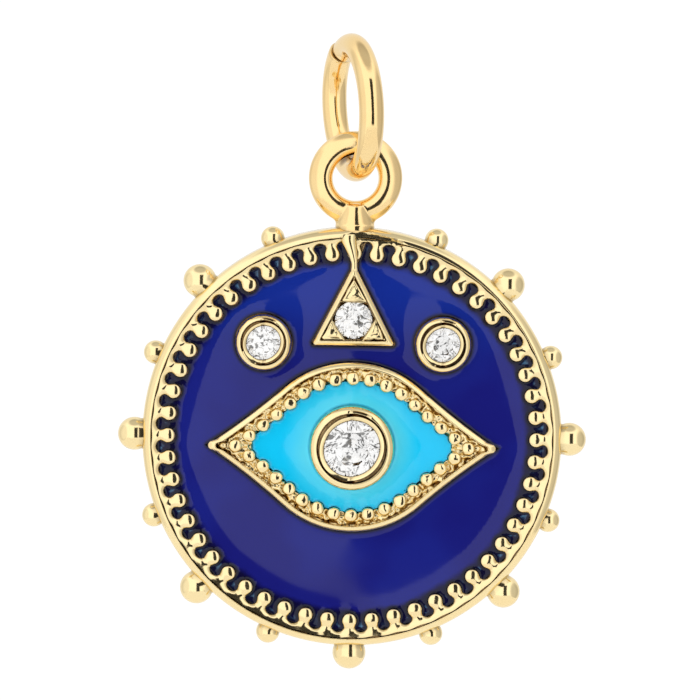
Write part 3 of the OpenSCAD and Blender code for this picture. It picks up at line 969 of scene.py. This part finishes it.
def tri_ring(inset, z, rounding=None):
    """Points of the rounded triangle at an inset."""
    corner_steps = 6
    side_steps = 8
    rounding = rounding or max(TRI_CORNER_R - 0.4 * inset, 0.05)
    shrink = 1 - (inset + rounding) / TRI_IN_R
    corners = []
    for k in range(3):
        start, end = TRI_SIDES[k], TRI_SIDES[(k + 1) % 3]
        end += 2 * pi if end < start else 0
        corners.append([TRI_CORNERS[k] * shrink + rounding * Vector((cos(a), sin(a)))
                        for a in (start + (end - start) * j / corner_steps for j in range(corner_steps + 1))])
    outline = []
    for k in range(3):
        here, there = corners[k], corners[(k + 1) % 3]
        outline += here
        outline += [here[-1].lerp(there[0], j / side_steps) for j in range(1, side_steps)]
    return [(p.x, p.y + TRI_C_Y, z) for p in outline]


def round_ring(model, r, z):
    """A ring's points moved onto a circle round the triangle's centre."""
    turns = [atan2(y - TRI_C_Y, x) for x, y, _ in model]
    return [(r * cos(turn), TRI_C_Y + r * sin(turn), z) for turn in turns]


def triangle_setting():
    """Outer rail, second lip, floor and the stone's seat."""
    rail_w = TRI_RAIL_W + 0.05
    rail_z = ENAMEL_Z + TRI_RAIL_RISE
    lip_z = ENAMEL_Z + TRI_LIP_RISE
    floor_z = ENAMEL_Z + TRI_FLOOR_RISE
    stone_r = SMALL_D / 2
    girdle_z = ENAMEL_Z + TRI_STONE_RISE
    rings = [tri_ring(0, ROOT_Z)]
    rings += [tri_ring(inset, z) for inset, z in ridge_section(rail_w, rail_z)]
    rings.append(tri_ring(rail_w + 0.004, lip_z - 0.12))
    for inset, z in ((0.016, lip_z - 0.12), (0.022, lip_z), (0.04, lip_z), (0.07, lip_z - 0.05)):
        rings.append(tri_ring(rail_w + inset, z, 0.15))
    rings.append(tri_ring(TRI_RAIL_W + TRI_LIP_W + 0.005, floor_z, 0.15))
    for r, z in ((stone_r + 0.008, floor_z - 0.01), (stone_r + 0.008, girdle_z - GIRDLE_T - FIT_GAP - 0.08),
                 (0.3 * stone_r, ROOT_Z + 0.05), (0.02, ROOT_Z + 0.04)):
        rings.append(round_ring(rings[-1], r, z))
    return drawn_out_piece(rings)


def is_steep(edge):
    a, b = (v.co for v in edge.verts)
    return abs(a.z - b.z) > 0.3 * hypot(a.x - b.x, a.y - b.y) + 0.001


def corner_prongs():
    """The triangle's inner corners, cut off square to the line from the stone's centre, with rounded tops."""
    room = TRI_IN_R - TRI_RAIL_W - 0.03
    reach = SMALL_D / 2 - PRONG_OVER
    top_z = ENAMEL_Z + PRONG_RISE
    prongs = []
    # how far out the prong reaches from its middle, by height
    shape = ((1, ENAMEL_Z), (1, top_z - 0.16), (0.95, top_z - 0.11), (0.82, top_z - 0.05),
             (0.6, top_z - 0.015), (0.3, top_z))
    for k, corner in enumerate(TRI_CORNERS):
        away = corner.normalized()
        across = Vector((-away.y, away.x))
        side = Vector((cos(TRI_SIDES[k]), sin(TRI_SIDES[k])))
        tip = away * (room / away.dot(side) - 0.1)
        half = abs((room - reach * away.dot(side)) / across.dot(side))
        outline = [tip, away * reach + across * half, away * reach - across * half]
        middle = sum(outline, Vector((0, 0))) / 3
        rings = []
        for share, z in shape:
            rings.append([(middle.x + share * (p.x - middle.x),
                           TRI_C_Y + middle.y + share * (p.y - middle.y), z) for p in outline])
        open_mesh(drawn_out_piece(rings))
        pick_edges(is_steep)
        bpy.ops.mesh.bevel(offset=0.05, segments=3, affect="EDGES")
        prongs.append(uneven(close_mesh(), 0.17, 0.16, cuts=3))
    return joined(prongs)


def rim_tab():
    """Rounded ridge from the rim to the triangle's apex."""
    top_z = ENAMEL_Z + TRI_RAIL_RISE
    # place along the tab, half width, sideways shift, depth under the top
    sections = ((8.24, 0.33, -0.25, 0.06), (8.14, 0.33, -0.25, 0), (7.98, 0.32, -0.24, 0),
                (7.78, 0.275, -0.185, 0), (7.58, 0.23, -0.12, 0), (7.4, 0.19, -0.07, 0),
                (7.25, 0.16, -0.035, 0), (7.12, 0.135, -0.01, 0), (7.04, 0.125, 0, 0), (6.92, 0.13, 0, 0.005),
                (6.8, 0.15, 0, 0.02), (6.72, 0.16, 0, 0.06))
    rings = []
    for y, half, shift, drop in sections:
        crown = min(half * 0.8, 0.26)
        ring = [(half + shift, y, ROOT_Z)]
        for j in range(13):
            a = pi * j / 12
            ring.append((half * cos(a) + shift, y, top_z - drop - crown + crown * sin(a)))
        rings.append(ring + [(-half + shift, y, ROOT_Z)])
    return drawn_out_piece(rings)


add_casting(triangle_setting(), "triangle_setting", setting_gold, 50)
add_casting(corner_prongs(), "corner_prongs", grained_gold, 50)
add_casting(rim_tab(), "rim_tab", cast_gold, 50)


# Loop, neck and jump ring

def full_turn(steps):
    """Equal angles all round."""
    return [2 * pi * k / steps for k in range(steps)]


def loop_and_neck():
    """Hanging loop, with the neck that flares into it above and sits on the rim below. The loop's crest lies
    towards its hole."""
    wire_r = LOOP_WIRE / 2
    crest_shift = 0.13
    section = [(LOOP_R + wire_r * cos(a) - crest_shift * sin(a) ** 2, wire_r * sin(a))
               for a in full_turn(40) + [2 * pi]]
    open_mesh(turned_piece(section, 96))
    pick_all()
    move((0, LOOP_Y, MID_Z))
    parts = [close_mesh()]
    # height above the rim, half width, half depth
    flare = ((0.0, 0.78, 0.5), (0.12, 0.78, 0.5), (0.2, 0.79, 0.48), (0.3, 0.85, 0.44), (0.4, 0.97, 0.4),
             (0.5, 1.1, 0.38), (0.6, 1.21, 0.36), (0.7, 1.28, 0.34), (0.8, 1.3, 0.3))
    body = ((-0.35, 0.7, 0.7), (-0.1, 0.79, 0.79), (0.06, 0.8, 0.79), (0.1, 0.76, 0.75), (0.18, 0.74, 0.73),
            (0.35, 0.69, 0.71), (0.55, 0.63, 0.69), (0.75, 0.58, 0.66), (0.88, 0.54, 0.61), (0.96, 0.48, 0.5),
            (1.0, 0.38, 0.3))
    for sections in (flare, body):
        parts.append(drawn_out_piece([[(half_w * cos(a), DISC_R + up, MID_Z + half_d * sin(a))
                                       for a in full_turn(48)] for up, half_w, half_d in sections]))
    # blended to one soft skin
    piece = joined(parts)
    apply_modifier(piece, "REMESH", mode="VOXEL", voxel_size=0.04)
    apply_modifier(piece, "SMOOTH", factor=0.5, iterations=5)
    return piece


def jump_ring():
    """Round wire bent to a ring, with its two cut ends close together and a hair out of line."""
    wire_r = RING_WIRE / 2
    out_of_line = 0.1
    steps = 160
    chamfer = 0.05
    end = 2 * pi - CUT_W / RING_R
    turns = [0, chamfer / RING_R] + [end * k / steps for k in range(2, steps - 1)]
    turns += [end - chamfer / RING_R, end]
    rings = []
    for k, turn in enumerate(turns):
        r = wire_r - (chamfer * 0.7 if k in (0, len(turns) - 1) else 0)
        section = [(RING_R + r * cos(a), r * sin(a) + out_of_line * (0.5 - turn / (2 * pi)))
                   for a in full_turn(40)]
        rings.append([(x * cos(turn), x * sin(turn), z) for x, z in section])
    return drawn_out_piece(rings)


add_piece(loop_and_neck(), "loop_and_neck", loop_gold, 60, "pendant")
cut_turn = Matrix.Rotation(pi - radians(CUT_AT) + CUT_W / RING_R / 2, 4, "Z")
ring_place = (IN_METRES @ Matrix.Rotation(-radians(RING_LEAN), 4, "Y") @ Matrix.Translation((0, 0, RING_C_Z))
              @ Matrix.Rotation(radians(RING_TURN), 4, "Z") @ Matrix.Rotation(pi / 2, 4, "Y") @ cut_turn)
add_piece(jump_ring(), "jump_ring_wire", wire_gold, 50, "jump_ring", ["jump_ring"], ring_place)


# Enamel and stones

TOOTH_TIP_R = TOOTH_R - TOOTH_D / 2
# How far from the rim's teeth the enamel starts to climb, and how far from any metal it is drawn up steeply
RIM_REACH = 0.19
METAL_REACH = 0.08
# The top has rows along its edge and is cut into squares, so many on each side of the middle
ROW_N = 3
ROW_W = 0.03
CELL_W = 0.2
CELL_N = 42
# How far apart the places are that the metal is looked up by
EDGE_STEP = 0.04


def nearest_spots(spots):
    tree = kdtree.KDTree(len(spots))
    for k, place in enumerate(spots):
        tree.insert(place, k)
    tree.balance()
    return tree


def faces_up(middle, normal):
    return normal.z > 0.9


def enamel_fill(node, rise, reach):
    """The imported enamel, its skin merged, with a top that climbs up the metal all round. Its attribute
    from_metal gives each point's distance from the nearest metal."""
    piece = bpy.data.objects.new(node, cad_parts[node].data.copy())
    scene.collection.objects.link(piece)
    piece.data.transform(UPRIGHT.inverted())
    open_mesh(piece)
    clean_skin()
    pick_faces(faces_up)
    bpy.ops.mesh.dissolve_limited(angle_limit=radians(1))
    pick_faces(faces_up)
    mesh = edit_mesh()
    top_z = max(v.co.z for v in mesh.verts)
    edge = []
    for e in mesh.edges:
        if sum(f.select for f in e.link_faces) == 1:
            a, b = (v.co for v in e.verts)
            parts = max(1, round((a - b).length / EDGE_STEP))
            edge += [a.lerp(b, k / parts) for k in range(parts)]
    all_metal = nearest_spots(edge)
    inner_metal = nearest_spots([place for place in edge if hypot(place.x, place.y) < TOOTH_TIP_R - 0.1])
    for _ in range(ROW_N):
        bpy.ops.mesh.inset(thickness=ROW_W, use_even_offset=False, use_boundary=True)
    for normal in ((1, 0, 0), (0, 1, 0)):
        for k in range(-CELL_N, CELL_N):
            bpy.ops.mesh.bisect(plane_co=Vector(normal) * (CELL_W * (k + 0.5)), plane_no=normal)
            pick_faces(faces_up)
    mesh = edit_mesh()
    for v in mesh.verts:
        if v.co.z > top_z - 0.001:
            near = all_metal.find(v.co)[2]
            far = inner_metal.find(v.co)[2]
            from_rim = max(0, TOOTH_TIP_R - hypot(v.co.x, v.co.y))
            climb = max(exp(-far / reach), exp(-from_rim / RIM_REACH))
            v.co.z += rise * (0.5 * exp(-near / METAL_REACH) + climb) - 0.02
    keep_edits()
    # the light blue fill is drawn in until it touches the centre bezel's wall
    wall_r = CENTER_BEZEL_R + FIT_GAP
    pick_points(lambda co: hypot(co.x, co.y - CENTER_Y) < wall_r + 0.005)
    closer = (CENTER_BEZEL_R - 0.005) / wall_r
    stretch((closer, closer, 1), (0, CENTER_Y, 0))
    close_mesh()
    away = piece.data.attributes.new("from_metal", "FLOAT", "POINT")
    away.data.foreach_set("value", [all_metal.find((v.co.x, v.co.y, top_z))[2] for v in piece.data.vertices])
    return piece


add_piece(enamel_fill("blue_enamel", 0.1, 0.37), "dark_blue_fill", dark_blue, 50, "pendant",
          ["blue_enamel"])
add_piece(enamel_fill("eye_enamel", 0.07, 0.3), "light_blue_fill", light_blue, 50, "pendant",
          ["eye_enamel"])
for stone in ("stone_center", "stone_left", "stone_right", "stone_triangle"):
    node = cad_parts[stone]
    node.data.materials.clear()
    node.data.materials.append(clear_stone)


# The studio

def floor():
    """White paper, in light of its own to the camera, so that it runs into the white behind it."""
    clear_selection()
    bpy.ops.mesh.primitive_plane_add(size=250 * MM, location=(0, 0, -90 * MM))
    piece = bpy.context.view_layer.objects.active
    piece.name = "floor"
    material, tree, shader = new_material("floor_paper")
    place = add_node(tree, "TexCoord").outputs["Object"]
    tone = mixed(tree, clouding(tree, place, 40.0), (0.9, 0.9, 0.9, 1), (0.93, 0.93, 0.93, 1))
    tree.links.new(tone, shader["Base Color"])
    shader["Roughness"].default_value = 0.9
    seen = add_node(tree, "LightPath").outputs["Is Camera Ray"]
    tree.links.new(seen, shader["Emission Strength"])
    shader["Emission Color"].default_value = (1, 1, 1, 1)
    piece.data.materials.append(material)


def studio_light():
    """White all round to the camera. The metal mirrors two tall soft boxes with a dark gap between them, just
    right of the camera, and dimmer light from far up, below and behind. The stones show sparks."""
    world = bpy.data.worlds.new("studio")
    scene.world = world
    world.use_nodes = True
    tree = world.node_tree
    tree.nodes.clear()
    way = add_node(tree, "TexCoord").outputs["Generated"]
    # the way a ray goes, with each part from -1 to 1: right, away from the camera, and up
    x, y, z = add_node(tree, "SeparateXYZ", {0: way}).outputs

    def fade(*values):
        return eased(tree, *values)

    def times(a, b):
        return worked_out(tree, "MULTIPLY", a, b)

    gap = times(fade(x, -0.006, 0.006), fade(x, 0.36, 0.43, 1, 0))
    gap = times(times(gap, fade(y, -0.4, -0.2, 1, 0)), times(fade(z, 0.66, 0.74, 1, 0), fade(z, -0.48, -0.4)))
    side = worked_out(tree, "ABSOLUTE", x)
    panel = times(fade(side, 0.72, 0.84, 1, 0.8), fade(z, 0.78, 0.93, 1, 0.5))
    lower = fade(z, -0.75, -0.35, 0.7, 1.0)
    behind = times(fade(y, -0.1, 0.6, 1.0, 0.75), fade(x, 0.6, 0.95, 1, 0.65))
    level = times(times(times(lower, behind), panel), fade(gap, 0, 1, 1, 0.03))
    level = times(level, 1.2)
    rays = add_node(tree, "LightPath").outputs
    level = times(level, worked_out(tree, "MULTIPLY_ADD", rays["Is Diffuse Ray"], 0.3, 1.0))
    spark = fade(clouding(tree, way, 70.0, 1.0), 0.39, 0.46, 0.15, 1.2)
    level = add_node(tree, "Mix", {0: rays["Is Transmission Ray"], 2: level, 3: spark}).outputs[0]
    light = add_node(tree, "Background", {"Color": (1, 0.985, 0.96, 1), "Strength": level}).outputs[0]
    white = add_node(tree, "Background", {"Color": (1, 1, 1, 1), "Strength": 1.05}).outputs[0]
    both = add_node(tree, "MixShader", {0: rays["Is Camera Ray"], 1: light, 2: white}).outputs[0]
    add_node(tree, "OutputWorld", {0: both})


def camera():
    """At the photograph's angle: a long lens a little above the pendant, rolled by a degree."""
    distance = 180
    width = 28.4
    elevation = radians(4)
    roll = radians(0.8)
    middle = Vector((0.13, 0, DISC_C_Z + 3.51)) * MM
    data = bpy.data.cameras.new("camera")
    data.sensor_width = 36
    data.lens = 36 * distance / width
    data.clip_start = 0.001
    data.clip_end = 20
    piece = bpy.data.objects.new("camera", data)
    scene.collection.objects.link(piece)
    back = Vector((0, -cos(elevation), sin(elevation))) * distance * MM
    turn = (-back).to_track_quat("-Z", "Y").to_matrix().to_4x4()
    piece.matrix_world = Matrix.Translation(middle + back) @ turn @ Matrix.Rotation(roll, 4, "Z")
    scene.camera = piece


floor()
studio_light()
camera()
scene.view_settings.view_transform = "Standard"
